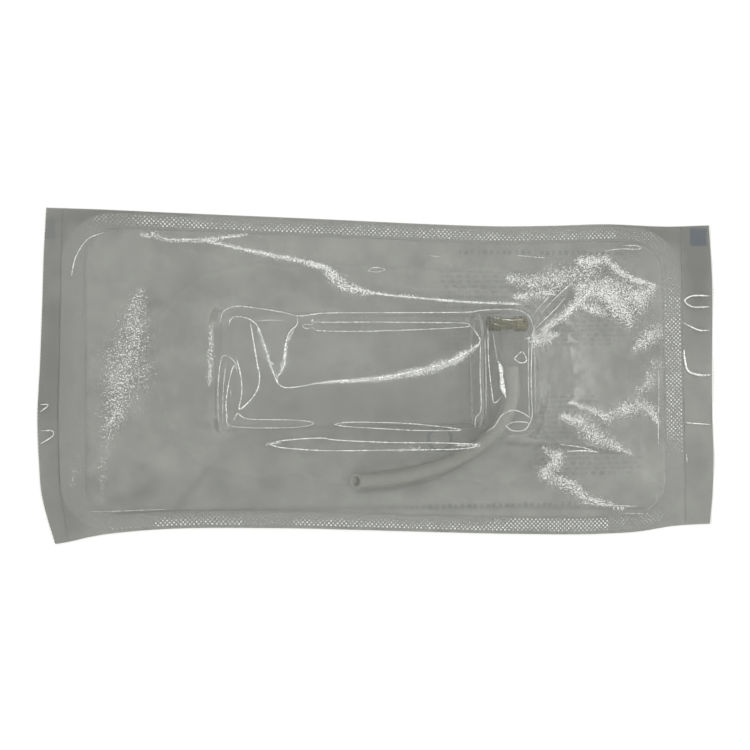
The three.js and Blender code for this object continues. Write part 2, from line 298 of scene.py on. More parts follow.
def paper_material():
    """Coated medical paper: cloudy, with short fibres, and faint blue-grey dashes of print."""
    s = Shader("backing_paper")
    clouds = s.noise(16.0, detail=5.0, roughness=0.62)
    fibres = s.noise(0.8, detail=4.0, roughness=0.7)
    blotch = s.math("ADD", s.math("MULTIPLY", clouds, 0.75), s.math("MULTIPLY", fibres, 0.25))
    shade = s.ramp(blotch, 0.4, 0.6)
    colour = s.mix_colour(shade, (0.327, 0.329, 0.317, 1), (0.404, 0.406, 0.391, 1))
    # Tone darkens the paper towards DARK_PAPER; it carries painted shadow and painted light as well as uneven
    # tone.
    colour = s.mix_colour(s.attribute("tone"), colour, DARK_PAPER)
    colour = s.mix_colour(s.math("MULTIPLY", s.attribute("print"), 0.4), colour, (0.075, 0.095, 0.13, 1))
    return s.paper_like(colour, 0.85, s.bump(fibres, 0.35, 0.08))


def coating_material():
    s = Shader("seal_coating")
    speckle = s.noise(1.2, detail=3.0)
    colour = s.mix_colour(speckle, (0.3, 0.303, 0.291, 1), (0.346, 0.349, 0.335, 1))
    # The coating is darkened by the paper's tone, painted shadow and painted light included.
    colour = s.mix_colour(s.attribute("tone"), colour, DARK_PAPER)
    return s.paper_like(colour, 0.6, s.bump(speckle, 0.3, 0.1))


def clear_plastic_material():
    """Clear thin-walled moulded plastic, brightest where its walls are seen edge on."""
    s = Shader("clear_shell")
    normal = s.bump(s.noise(9.0, detail=1.0), 0.12, 1.2)
    scuffs = s.ramp(s.noise(0.6, detail=4.0), 0.35, 0.75, 0.08, 0.16)
    return s.finish(s.mix(s.fresnel(1.35, normal), s.clear(grey(0.978)), s.gloss(scuffs, Normal=normal)))


def silicone_material():
    s = Shader("silicone")
    frost = s.noise(1.5, detail=3.0)
    normal = s.bump(frost, 0.2, 0.1)
    body = s.mix(s.ramp(frost, 0.3, 0.7, 0.4, 0.6), s.clear(grey(0.9)), s.matte(grey(0.45)))
    return s.finish(s.mix(s.fresnel(1.41, normal), body, s.gloss(0.25, Normal=normal)))


def amber_material():
    s = Shader("amber_plastic")
    flow = s.noise(2.2, detail=3.0, roughness=0.6)
    colour = s.mix_colour(s.ramp(flow, 0.35, 0.65), (0.125, 0.115, 0.05, 1), (0.3, 0.285, 0.17, 1))
    normal = s.bump(flow, 0.25, 0.3)
    body = s.mix(0.62, s.clear((0.68, 0.65, 0.48, 1)), s.matte(colour))
    return s.finish(s.mix(s.fresnel(1.5, normal), body, s.gloss(0.12, Normal=normal)))


def tube_material():
    """Soft milky tube, with painted light: paler on its higher parts, where it rises towards the film, and just
    inside its cut end.
    """
    s = Shader("soft_tube")
    cloud = s.noise(3.0, detail=3.0)
    normal = s.bump(s.noise(1.1, detail=2.0), 0.15, 0.1)
    colour = s.mix_colour(cloud, (0.27, 0.276, 0.248, 1), (0.325, 0.33, 0.302, 1))
    colour = s.mix_colour(s.attribute("pale"), colour, (0.44, 0.442, 0.422, 1))
    body = s.mix(s.ramp(cloud, 0.3, 0.7, 0.78, 0.84), s.clear((0.8, 0.81, 0.77, 1)), s.matte(colour))
    return s.finish(s.mix(s.fresnel(1.45, normal), body, s.gloss(0.3, Normal=normal)))


def floor_material():
    s = Shader("floor")
    return s.finish(s.matte(grey(0.93)))


# ---- Mesh helpers ----


def new_object(name, points_mm, faces, material, smooth=True):
    mesh = bpy.data.meshes.new(name)
    mesh.from_pydata((np.asarray(points_mm, float) * MM).tolist(), [], faces)
    mesh.validate()
    mesh.shade_smooth() if smooth else mesh.shade_flat()
    mesh.materials.append(material)
    made = bpy.data.objects.new(name, mesh)
    bpy.context.collection.objects.link(made)
    return made


def declare(made, slot, body, *nodes):
    """Hangs a piece on the body it rides on and hides the CAD nodes it stands for; slot is not used."""
    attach(made, body)
    if nodes:
        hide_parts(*nodes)


def declare_bent(made, slot, turn, *nodes):
    """Bakes a piece's place into its mesh and hides the CAD nodes it stands for; slot is not used, and turn,
    (body, body beyond, x of the bend's start, x of its end), is not used.
    """
    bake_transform(made)
    if nodes:
        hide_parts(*nodes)


def set_attribute(made, name, values):
    layer = made.data.attributes.new(name, "FLOAT", "POINT")
    layer.data.foreach_set("value", np.asarray(values, np.float32).ravel())


def closed_sheet(name, top, thick_mm, material, **attributes):
    """A sheet with its upper face on a grid of points, its lower face thick_mm below, and its rim closed."""
    rows, columns = top.shape[:2]
    under = rows * columns
    points = np.concatenate([top.reshape(-1, 3), (top - (0, 0, thick_mm)).reshape(-1, 3)])
    index = np.arange(under).reshape(rows, columns)
    a, b, c, d = index[:-1, :-1], index[1:, :-1], index[1:, 1:], index[:-1, 1:]
    upper = np.stack([a, b, c, d], -1).reshape(-1, 4)
    lower = upper[:, ::-1] + under
    edge = np.concatenate([index[:, 0], index[-1, 1:], index[-2::-1, -1], index[0, -2:0:-1]])
    after = np.roll(edge, -1)
    rim = np.stack([after, edge, edge + under, after + under], -1)
    made = new_object(name, points, np.concatenate([upper, lower, rim]).tolist(), material)
    for key, values in attributes.items():
        set_attribute(made, key, np.concatenate([values.ravel(), values.ravel()]))
    return made


def band(here, there, count):
    """Quads between two closed rows of count points, given by the numbers of their first points."""
    after = [(i + 1) % count for i in range(count)]
    return [(here + i, here + after[i], there + after[i], there + i) for i in range(count)]


def rounded_ring(half_width, half_height, corner, steps=12):
    """A rounded rectangle in the YZ plane, anticlockwise seen from +X."""
    radius = max(0.2, min(corner, half_width, half_height))
    ring = []
    for quarter in range(4):
        y = (1 if quarter in (0, 3) else -1) * (half_width - radius)
        z = (1 if quarter < 2 else -1) * (half_height - radius)
        for i in range(steps + 1):
            angle = (quarter + i / steps) * math.pi / 2
            ring.append((y + radius * math.cos(angle), z + radius * math.sin(angle)))
    return ring


def shell(name, sections, material, loop=False):
    """A surface through sections (x, half width, half height, corner, middle y), a loop or with two flat ends."""
    points, faces = [], []
    for x, half_width, half_height, corner, middle in sections:
        for y, z in rounded_ring(half_width, half_height, corner):
            points.append((x, middle + y, AXIS_Z + z))
    count = len(points) // len(sections)
    last = len(sections) if loop else len(sections) - 1
    for s in range(last):
        faces += band(s * count, (s + 1) % len(sections) * count, count)
    if not loop:
        for s, flip in ((0, True), (len(sections) - 1, False)):
            points.append((sections[s][0], sections[s][4], AXIS_Z))
            for i in range(count):
                pair = (s * count + i, s * count + (i + 1) % count)
                faces.append((len(points) - 1, *(pair[::-1] if flip else pair)))
    made = new_object(name, points, faces, material)
    outward(made)
    return made


def outward(made):
    bm = bmesh.new()
    bm.from_mesh(made.data)
    bmesh.ops.remove_doubles(bm, verts=bm.verts, dist=1e-7)
    bmesh.ops.recalc_face_normals(bm, faces=bm.faces)
    bm.to_mesh(made.data)
    bm.free()


def spin(name, profile_mm, axis, centre_mm, material, sides=40):
    """A closed profile of (radius, along) points turned about an axis through centre_mm."""
    points, faces = [], []
    count = len(profile_mm)
    for i in range(sides):
        angle = 2 * math.pi * i / sides
        for radius, along in profile_mm:
            across = (radius * math.cos(angle), radius * math.sin(angle))
            place = (along, *across) if axis == "X" else (across[0], along, across[1])
            points.append(np.array(centre_mm) + place)
    for i in range(sides):
        here, there = i * count, (i + 1) % sides * count
        for k in range(count):
            j = (k + 1) % count
            faces.append((here + k, there + k, there + j, here + j))
    made = new_object(name, points, faces, material)
    outward(made)
    return made


def cut(made, cutter):
    modifier = made.modifiers.new("boolean", "BOOLEAN")
    modifier.operation, modifier.object, modifier.solver = "DIFFERENCE", cutter, "EXACT"
    bpy.context.view_layer.objects.active = made
    bpy.ops.object.modifier_apply(modifier=modifier.name)
    bpy.data.objects.remove(cutter)


def smooth_by_angle(made, degrees=40):
    bpy.context.view_layer.objects.active = made
    made.select_set(True)
    bpy.ops.object.shade_smooth_by_angle(angle=math.radians(degrees))
    made.select_set(False)


def through(points, count):
    """Points evenly spread along a centripetal Catmull-Rom curve through the given points."""
    route = np.array(points, float)
    padded = np.vstack([2 * route[0] - route[1], route, 2 * route[-1] - route[-2]])
    dense = []
    for p0, p1, p2, p3 in zip(padded, padded[1:], padded[2:], padded[3:]):
        for t in np.linspace(0, 1, 40, endpoint=False):
            dense.append(0.5 * (2 * p1 + (p2 - p0) * t + (2 * p0 - 5 * p1 + 4 * p2 - p3) * t**2
                                + (3 * p1 - p0 - 3 * p2 + p3) * t**3))
    dense = np.array(dense + [route[-1]])
    steps = np.linalg.norm(np.diff(dense, axis=0), axis=1)
    along = np.concatenate([[0], np.cumsum(steps)])
    wanted = np.linspace(0, along[-1], count)
    return np.stack([np.interp(wanted, along, dense[:, k]) for k in range(3)], 1), along[-1]


def hollow_tube(name, path, outer, inner, material, sides=28, slant=0.0):
    """An open tube along a path, given by its outer and inner diameters, whose far end may be cut aslant."""
    tangents = np.gradient(path, axis=0)
    tangents /= np.linalg.norm(tangents, axis=1)[:, None]
    up = np.array([0.0, 0.0, 1.0])
    points, faces = [], []
    for radius in ([outer / 2, inner / 2] if inner else [outer / 2]):
        for number, (place, tangent) in enumerate(zip(path, tangents)):
            side = np.cross(up, tangent)
            side /= np.linalg.norm(side)
            over = np.cross(tangent, side)
            lean = slant * max(0.0, 1 - (len(path) - 1 - number) / 6)
            for i in range(sides):
                angle = 2 * math.pi * i / sides
                offset = radius * (math.cos(angle) * side + math.sin(angle) * over)
                points.append(place + offset - lean * (radius * math.sin(angle) + outer / 4) * tangent)
    length = len(path)
    block = length * sides
    for layer in range(2 if inner else 1):
        for s in range(length - 1):
            base = layer * block + s * sides
            faces += band(base, base + sides, sides)
    for s in (0, length - 1):
        if inner:
            faces += band(s * sides, block + s * sides, sides)
        else:
            faces.append([s * sides + i for i in range(sides)])
    made = new_object(name, points, faces, material)
    outward(made)
    return made


# ---- The tube, declared first ----


def add_tube():
    path, length = through(TUBE_ROUTE, 90)
    tube = hollow_tube("tube", path, TUBE_OUTER, TUBE_INNER, tube_material(), slant=0.6)
    smooth_by_angle(tube)
    places = np.array([v.co for v in tube.data.vertices]) / MM
    inside_end = unit((path[-1][0] + 3 - places[:, 0]) / 3)
    # Painted light: paler as the tube rises and just inside its cut end.
    set_attribute(tube, "pale", np.maximum(unit((places[:, 2] - 6) / 5), 0.8 * inside_end))
    declare(tube, "soft_tube", "root", "connecting_tube")


# ---- The pouch's outline ----


def smooth_through(points):
    """A smooth function through a few (place, value) points, with level ends."""
    places, values = np.array(points, float).T

    def at(x):
        x = np.clip(x, places[0], places[-1])
        k = np.clip(np.searchsorted(places, x, side="right") - 1, 0, len(places) - 2)
        slope = np.gradient(values, places)
        step = places[k + 1] - places[k]
        t = (x - places[k]) / step
        return ((2 * t**3 - 3 * t**2 + 1) * values[k] + (t**3 - 2 * t**2 + t) * step * slope[k]
                + (3 * t**2 - 2 * t**3) * values[k + 1] + (t**3 - t**2) * step * slope[k + 1])

    return at


# Sealing and forming pull the long edges in a little, and the free ends are cut slightly askew.
TOP_EDGE = smooth_through([
    (-150, 2.4), (-123, 1.85), (-100, 1.1), (-31, -0.95), (22, -2.7), (48, -3.15), (78, -2.45), (97, -1.65),
    (130, -2.3), (150, -1.4),
])
LOW_EDGE = smooth_through([
    (-150, -1.3), (-142, -0.4), (-124, 2.5), (-113, 3.4), (-50, 3.1), (-15, 1.4), (20, -0.5), (57, -2.25),
    (94, -3.2), (113, -2.6), (128, -0.7), (150, 0.0),
])
LEFT_END = smooth_through([
    (-70, 3.4), (-64, 1.6), (-58, -0.2), (-48, -2.5), (-36, -3.4), (-18, -4.0), (5, -2.8), (28, -1.8),
    (50, -1.0), (70, 0.2),
])
RIGHT_END = smooth_through([
    (-70, -1.2), (-54, 0.6), (-40, 1.35), (-20, 1.1), (5, 1.4), (28, 2.0), (42, 2.2), (56, 1.75), (70, 1.0),
])


def bent(x, y):
    """Where a point of the flat pouch lies once its edges have pulled in."""
    share = (y + HALF_WIDTH) / (2 * HALF_WIDTH)
    moved_y = y + LOW_EDGE(x) * (1 - share) + TOP_EDGE(x) * share
    left = unit((PEEL_LINE - x) / (PEEL_LINE - TAB_LEFT))
    right = unit((x - FOLD_RIGHT) / (TAB_RIGHT - FOLD_RIGHT))
    return x + left * LEFT_END(y) + right * RIGHT_END(y), moved_y


def pinked(x, y, edge):
    """Moves the points of an end's edge to a fine zigzag."""
    pitch, depth = 1.6, 0.8
    teeth = np.abs((y / pitch) % 1 - 0.5) * 2
    return x - np.sign(edge) * depth * teeth * (np.abs(x - edge) < 0.2)


def outside_rounded(x, y, low, high, half, corner):
    """How far a point lies outside a rounded rectangle; negative inside it."""
    dx = np.abs(x - (low + high) / 2) - (high - low) / 2 + corner
    dy = np.abs(y) - half + corner
    return np.hypot(np.maximum(dx, 0), np.maximum(dy, 0)) + np.minimum(np.maximum(dx, dy), 0) - corner


# ---- Paper ----

PAPER_THICK = 0.25
TAB_BEND = 1.5  # length over which a loose end bends at its fold


def waves(x, y, size, seed, octaves=3):
    """Smooth noise from a few dozen sine waves of random directions, about -1 to 1."""
    rng = np.random.default_rng(seed)
    total = np.zeros_like(x)
    for octave in range(octaves):
        for _ in range(8):
            angle = rng.uniform(0, 2 * math.pi)
            length = size / 2**octave * rng.uniform(0.7, 1.4)
            phase = rng.uniform(0, 2 * math.pi)
            turn = (x * math.cos(angle) + y * math.sin(angle)) * 2 * math.pi / length + phase
            total += np.sin(turn) * 0.6**octave
    return total / 4.5


def paper_height(x, y):
    """Top of the paper: flat under the seal and under the contents, and gently cockled between them."""
    open_cavity = unit(-outside_rounded(x, y, PEEL_LINE, SEAL_RIGHT, SEAL_HALF, SEAL_CORNER) / 12)
    past_ends = np.maximum(x - CAP_HIGH[0], BASE_LOW[0] - x)
    beside = np.maximum(past_ends, np.maximum(y - CAP_HIGH[1], CAP_LOW[1] - y))
    free = unit((beside - 2) / 12) * open_cavity
    tube_near = unit((np.hypot(x - 10, (y + 40) * 2.2) - 34) / 14)
    cockle = 0.7 + 0.7 * waves(x, y, 46, 5)
    return PAPER_HIGH[2] + free * tube_near * np.clip(cockle, 0, 1.6) * 0.8


def print_mask(x, y):
    """Blocks of short dashes in rows, like fine print seen through the paper, with no letters."""
    rng = np.random.default_rng(11)
    ink = np.zeros_like(x)
    # (left, right, low, high, row pitch)
    blocks = [(30, 118, 52.5, 56, 3.4), (22, 68, 10, 46, 2.3), (74, 118, 12, 47, 2.1),
              (62, 100, -30, -9, 2.3), (64, 116, -46, -33, 2.2), (8, 92, -60, -56.5, 3.4)]
    for left, right, low, high, pitch in blocks:
        row = np.floor((y - low) / pitch)
        inside = (x > left) & (x < right) & (y > low) & (y < high)
        shift = rng.uniform(0, 100, 64)[np.clip(row, 0, 63).astype(int)]
        ragged = rng.uniform(0.6, 1.0, 64)[np.clip(row, 0, 63).astype(int)]
        wide = 0.8 if pitch < 3 else 1.7
        turn = (x + shift) * 2 * math.pi / wide
        dash = np.sin(turn / 1.7) + 0.7 * np.sin(turn / 5.3)
        level = np.abs((y - low) / pitch - row - 0.5) < 0.27
        strength = 0.7 if pitch < 3 else 0.75
        written = inside & level & (dash > 0.1) & (x < left + (right - left) * ragged)
        ink = np.maximum(ink, strength * written)
    ring = np.abs(np.hypot(x - 21, y + 28.5) - 5.2) < 0.7
    corners = (y > 58) * (0.6 * (x < -144) * (y < 66.5) + 2.0 * (x > 139.5) * (x < 147.5) * (y < 66))
    return np.maximum(np.maximum(ink, ring), corners)


# Soft patches of the paper's tone: middle, half lengths, amount. Amounts above 0 darken: painted shadow below the
# reservoir, and uneven tone at the ends and far corners. Amounts below 0 lighten: painted light where the film
# over the reservoir and the end cap would shine.
PAINTED_SHADE_AND_LIGHT_PATCHES = [
    ((-15, -22), (62, 12), 0.24),
    ((-100, -52), (48, 14), 0.22),
    ((-34, 10), (44, 12), -0.34),
    ((30, 44), (34, 8), -0.2),
    ((-42, 54), (30, 8), -0.22),
    ((47, -13), (9, 12), -0.3),
    ((24, -56), (34, 6), -0.26),
    ((92, -14), (16, 12), -0.2),
    ((107, -48), (14, 12), -0.22),
    ((-94, -34), (14, 10), -0.22),
    ((-53, 11), (5, 8), -0.35),
    ((-64, -7), (4, 7), -0.35),
    ((24, 0), (12, 6), -0.2),
    ((120, 63), (20, 6), 0.8),
    ((-128, 67), (20, 5), 0.5),
    ((-95, 8), (22, 30), 0.1),
    ((-147, 6), (9, 28), 0.42),
    ((-112, 8), (12, 30), -0.02),
    ((143, 50), (9, 30), 0.82),
    ((143, -55), (9, 20), 0.14),
]

# Narrow lines of painted shadow on the paper, under folds of the film and under the tube, and one of painted
# light (amount below 0) just above the tube: amount, then points (x, y, half width).
PAINTED_SHADE_AND_LIGHT_LINES = [
    (0.5, [(52, -31, 1), (80, -33, 1.3), (108, -36.5, 0.9)]),
    (0.4, [(-120, -57.6, 1.1), (0, -58.2, 1.3), (60, -59.4, 1.2), (115, -61.3, 0.7)]),
    (-0.5, [(-14, -43, 1.5), (3, -41, 2.2), (21, -37.5, 2.5), (32, -32.5, 2.5), (41, -26, 2.5),
     (47, -18, 2.5)]),
    (0.3, [(-16, -51, 0.8), (0, -50.3, 0.8), (18, -46.5, 0.8), (34, -38.5, 0.8), (46, -27, 0.8)]),
    (0.22, [(-97, -60, 1), (-90, -51, 2), (-81, -40, 1.5)]),
    (0.2, [(-128, -56, 2), (-114, -52, 3), (-106, -48, 2)]),
    (0.12, [(-105, 31, 1.5), (-96, 33, 2), (-85, 46, 2)]),
]


def paper_tone(x, y):
    """How much the paper darkens, as uneven tone together with painted shadow and painted light: darker at the
    left end, along the far edge's left part and in soft random blotches; the patches and lines above add painted
    shadow below the reservoir, under folds of the film and under the tube, and take it away as painted light
    where the film over the paper would shine.
    """
    left = unit((-126 - x) / 14)
    far = unit((y - 60) / 8) * unit((-20 - x) / 90)
    dips = 0.16 * unit(waves(x, y, 44, 41)) + 0.12 * unit(waves(x, y, 18, 42))
    tone = 0.25 + 0.28 * np.maximum(left, far) + 0.78 * dips
    for (cx, cy), (rx, ry), amount in PAINTED_SHADE_AND_LIGHT_PATCHES:
        tone = tone + 0.78 * amount * np.exp(-(((x - cx) / rx) ** 2) - ((y - cy) / ry) ** 2)
    for amount, points in PAINTED_SHADE_AND_LIGHT_LINES:
        tone = tone + 0.78 * amount * np.exp(-near_line(x, y, points) ** 2)
    return np.clip(tone, 0, 0.85)


def grid(x_low, x_high, y_low, y_high, cell):
    xs = np.linspace(x_low, x_high, max(2, round((x_high - x_low) / cell) + 1))
    ys = np.linspace(y_low, y_high, max(2, round((y_high - y_low) / cell) + 1))
    return np.meshgrid(xs, ys, indexing="ij")


def paper_piece(name, left, right, cell=0.5):
    x, y = grid(left, right, -HALF_WIDTH, HALF_WIDTH, cell)
    px, py = bent(x, y)
    for edge in (TAB_LEFT, TAB_RIGHT):
        if abs(left - edge) < 1 or abs(right - edge) < 1:
            px = px + pinked(x, y, edge) - x
    z = paper_height(x, y)
    # The paper's tone, with its painted shadow and painted light, goes on as an attribute.
    look = {"print": print_mask(px, py), "tone": paper_tone(px, py)}
    return closed_sheet(name, np.stack([px, py, z], -1), PAPER_THICK, PAPER, **look)


def add_paper():
    declare(paper_piece("paper_sheet", FOLD_LEFT, FOLD_RIGHT), "backing_paper", "root", "backing_paper")
    for side, left, right, fold, out in (("left", TAB_LEFT, FOLD_LEFT, FOLD_LEFT, -1),
                                         ("right", FOLD_RIGHT, TAB_RIGHT, FOLD_RIGHT, 1)):
        tab = paper_piece(f"paper_end_{side}", left, right, 0.4)
        turn = ("root", f"paper_tab_{side}", fold, fold + out * TAB_BEND)
        declare_bent(tab, "backing_paper", turn, f"paper_tab_{side}")


# ---- Film ----

FILM_CELL = 0.65
FILM_THICK = 0.2
FLANGE_TOP = 0.75
CLEARANCE = 0.55
WALL_RUN = 2.5
WALL_RISE = 2.0
NOTHING = -50.0  # height given where nothing holds the film up
PEEL_BEND = 1.2  # length over which the film bends at the peel line


def hull_height(x, y, left, right, middle, width, height, corner, ends=0.0):
    """Top of a lying rounded block, grown by the film's clearance; far below elsewhere."""
    half, radius, edge = width / 2 + CLEARANCE, corner + CLEARANCE, ends + CLEARANCE
    over = np.clip(np.abs(y - middle) - (half - radius), 0, radius)
    top = AXIS_Z + height / 2 + CLEARANCE - radius + np.sqrt(np.maximum(radius**2 - over**2, 0))
    to_end = np.minimum(x - left, right - x) + CLEARANCE
    if ends:
        lost = np.clip(edge - to_end, 0, edge)
        top = top - edge + np.sqrt(np.maximum(edge**2 - lost**2, 0))
    inside = (np.abs(y - middle) <= half) & (to_end >= 0)
    return np.where(inside, top, NOTHING)


def tube_height(x, y):
    path, _ = through(TUBE_ROUTE, 160)
    top = np.full_like(x, NOTHING)
    radius = TUBE_OUTER / 2 + CLEARANCE
    for px, py, pz in path:
        across = (x - px) ** 2 + (y - py) ** 2
        near = across < radius**2
        top[near] = np.maximum(top[near], pz + np.sqrt(radius**2 - across[near]))
    return top


def contents_height(x, y):
    """What the film has to pass over."""
    middle = (BODY_LOW[1] + BODY_HIGH[1]) / 2
    cap_middle = (CAP_LOW[1] + CAP_HIGH[1]) / 2
    base, cap = BASE_HIGH - BASE_LOW, CAP_HIGH - CAP_LOW
    pieces = [
        hull_height(x, y, BASE_LOW[0], BASE_HIGH[0], middle, base[1], base[2], BASE_CORNER, BASE_ROUND),
        hull_height(x, y, BODY_LOW[0], BODY_HIGH[0], middle, BODY_WIDE, BODY_TALL, BODY_CORNER),
        hull_height(x, y, CAP_LOW[0] + PLUG_LENGTH, CAP_HIGH[0], cap_middle, cap[1], cap[2],
                    CAP_CORNER, CAP_ROUND),
        tube_height(x, y),
    ]
    return np.maximum.reduce(pieces)


def relax(height, fixed, floor, load, rounds):
    """Lets a stretched film settle on what is under it: each point goes to its neighbours' mean, less a load."""
    for _ in range(rounds):
        mean = height.copy()
        mean[1:-1, 1:-1] = (height[:-2, 1:-1] + height[2:, 1:-1] + height[1:-1, :-2] + height[1:-1, 2:]) / 4
        mean = np.maximum(mean - load, floor)
        height = np.where(fixed, height, mean)
    return height


def between(values, row, column):
    """Values of a grid at fractional rows and columns."""
    i = np.minimum(row.astype(int), values.shape[0] - 2)
    j = np.minimum(column.astype(int), values.shape[1] - 2)
    s, t = row - i, column - j
    here = values[i, j] * (1 - t) + values[i, j + 1] * t
    after = values[i + 1, j] * (1 - t) + values[i + 1, j + 1] * t
    return here * (1 - s) + after * s


def enlarged(values, shape, by):
    return between(values, (np.arange(shape[0]) / by)[:, None], (np.arange(shape[1]) / by)[None, :])


def film_heights(x, y, px, py):
    """Height of the film's upper face over the sheet between the folds."""
    from_seal = -outside_rounded(x, y, PEEL_LINE, SEAL_RIGHT, SEAL_HALF, SEAL_CORNER)
    wall = FLANGE_TOP + WALL_RISE * np.sin(unit(from_seal / WALL_RUN) * math.pi / 2)
    fixed = from_seal <= WALL_RUN
    contents = contents_height(px, py)
    ground = paper_height(x, y) + 2.2 + 0.5 * waves(x, y, 60, 3)
    floor = np.maximum(contents, np.where(fixed, NOTHING, ground))
    height = np.where(fixed, wall, np.maximum(floor, 8.0))
    load = 0.014 * FILM_CELL**2 / 4
    for by, rounds in ((8, 400), (4, 300), (2, 300), (1, 260)):
        coarse = [values[::by, ::by] for values in (height, fixed, floor)]
        small = relax(*coarse, load * by**2, rounds)
        grown = enlarged(small, height.shape, by) if by > 1 else small
        height = np.where(fixed, wall, np.maximum(grown, floor))
    return height, from_seal, contents


def crown(x, y):
    """The film stands a little off the reservoir's top in a low swelling that narrows towards the end cap."""
    share = unit((x + 66) / 106)
    middle = 6 + 11 * share
    half = 24 - 13 * share
    across = unit(1 - ((y - middle) / half) ** 2) ** 2
    ends = unit((x + 66) / 16) * unit((40 - x) / 14)
    return 1.7 * half / 24 * across * ends**1.5


def crease(x, y):
    """A long crease from the far left corner over to the end cap."""
    line = np.interp(x, [-77, -40, -25, 0, 52], [58, 50, 41, 36, 31])
    along = unit((x + 80) / 12) * unit((56 - x) / 20)
    return 1.1 * along * np.exp(-(((y - line) / 3.2) ** 2))


# Painted glints: bands where white specks are painted on the film, for light caught by its embossing: strength,
# then points (x, y, half width) along a band.
PAINTED_GLINT_BANDS = [
    (0.92, [(-38, -4.2, 0.5), (-20, -3, 1), (-7, -2, 1.5), (9.5, 1, 2), (22, 4.8, 2.2), (33, 11.8, 0.9)]),
    (0.7, [(-61, 19, 0.6), (-57, 7.5, 0.9), (-54.8, 0.6, 0.9), (-52.4, -4.4, 0.5)]),
    (0.82, [(-46.5, 18, 0.4), (-49.5, 12, 0.7), (-50.5, 3.6, 1.1), (-53, -1, 0.6)]),
    (0.85, [(-56.5, -29.4, 0.7), (-51, -28.8, 0.5)]),
    (0.85, [(25, -31, 0.5), (34.5, -31, 0.9)]),
    (0.6, [(0, -32.8, 0.8), (9, -31.8, 0.9)]),
    (0.95, [(-27, 43.5, 1.6), (-25.5, 40.5, 2.4), (-24, 37.5, 1.5)]),
    (0.6, [(-109, 35, 2.5), (-112, 20, 6), (-115, 2, 9), (-118, -11, 7), (-121, -20, 4)]),
    (0.36, [(-123, -26, 3), (-125, -36, 3), (-125, -52, 1.2)]),
    (0.36, [(-138, -46, 1), (-136, -38, 1.2), (-133, -30, 1.2)]),
    (0.75, [(-80, 20, 0.8), (-80.5, 5, 1.5), (-81, -5, 0.5)]),
    (0.85, [(52, 33, 1.2), (60, 34, 2.4), (71, 36, 2.4)]),
    (0.72, [(51, 42, 2), (62, 40, 4), (78, 42, 5), (92, 48, 4)]),
    (0.86, [(86, 50, 2.6), (98, 51, 2.4), (104, 46, 2), (110, 42, 1.6), (120, 40, 1.2)]),
    (0.82, [(86, 38, 4.5), (100, 36, 8), (112, 33, 6), (121, 39, 1.5)]),
    (0.88, [(100, 34, 7), (106, 28, 6), (108, 23, 2.5)]),
    (0.8, [(86, 30, 2), (92, 29, 3), (97, 27, 2)]),
    (0.84, [(62, 18, 1.2), (77, 26, 2.2), (90, 37, 3)]),
    (0.8, [(58, 14, 3.4), (66, 15.5, 3), (72, 17, 1)]),
    (0.7, [(122, 19, 4), (117, 15, 4), (111, 11, 2)]),
    (0.52, [(121, 3, 4), (118, -3, 4), (112, -9, 3)]),
    (0.78, [(77, -13, 0.8), (88, -16, 1.5), (98, -20, 2.4), (111, -14, 4), (118, -17, 3), (122, -23, 1.5)]),
    (0.72, [(73.5, -19, 2), (82, -21.5, 3.6), (91, -28, 4.6), (100, -33, 2.8), (109, -36.5, 0.8)]),
    (0.82, [(65, -33, 1), (73, -37, 3), (72, -41, 3.5), (67, -44, 3), (72, -47, 3), (81, -51, 3),
     (87, -56, 2), (104, -61, 1)]),
    (0.8, [(-108, 60, 1), (-103, 60, 1.6), (-97, 58, 1), (-82, 58, 1), (-68, 60, 0.8), (-63, 61, 0.5)]),
    (0.9, [(-82, 58, 0.8), (-65, 54, 1), (-41, 49, 1.1), (-30, 46, 1.7), (-27, 42, 3), (-22, 37, 2.2),
     (-12, 35, 1.2)]),
    (0.85, [(-12, 35, 1), (0, 33.5, 0.7), (30, 30.5, 0.6), (53, 30, 0.6)]),
]


def near_line(x, y, points):
    """Distance from a line of (x, y, half width) points, in half widths."""
    nearest = np.full_like(x, 99.0)
    for (ax, ay, aw), (bx, by, bw) in zip(points, points[1:]):
        dx, dy = bx - ax, by - ay
        t = unit(((x - ax) * dx + (y - ay) * dy) / (dx * dx + dy * dy))
        away = np.hypot(x - ax - t * dx, y - ay - t * dy)
        nearest = np.minimum(nearest, away / (aw + t * (bw - aw)))
    return nearest


# Painted glints: how densely white specks are painted on the film.
def frost(x, y):
    total = np.zeros_like(x)
    for strength, points in PAINTED_GLINT_BANDS:
        total = np.maximum(total, strength * np.exp(-0.6 * near_line(x, y, points) ** 2))
    ragged = 0.98 + 0.14 * waves(x, y, 14, 31)
    return unit(total * ragged)


def wrinkles(x, y):
    """Sharp folds that run from the end cap's corners out towards the seal."""
    total = np.zeros_like(x)
    # start, angle in degrees, length, half width, height
    folds = [((60, 29), 62, 34, 1.1, 0.9), ((61, 27), 50, 38, 1.2, 1.0), ((62, 25), 38, 36, 1.3, 0.9),
             ((62, 22), 24, 30, 1.5, 0.7), ((62, -24), -34, 44, 1.2, 0.9), ((60, -27), -22, 50, 1.2, 0.8),
             ((63, -18), -12, 36, 1.4, 0.6)]
    for (sx, sy), turn, length, half, tall in folds:
        c, s = math.cos(math.radians(turn)), math.sin(math.radians(turn))
        along = (x - sx) * c + (y - sy) * s
        across = (y - sy) * c - (x - sx) * s
        spread = half * (0.6 + 0.9 * unit(along / length))
        ends = unit(along / 5) * unit((length - along) / (0.6 * length))
        total += tall * ends * np.exp(-((across / spread) ** 2))
    return total


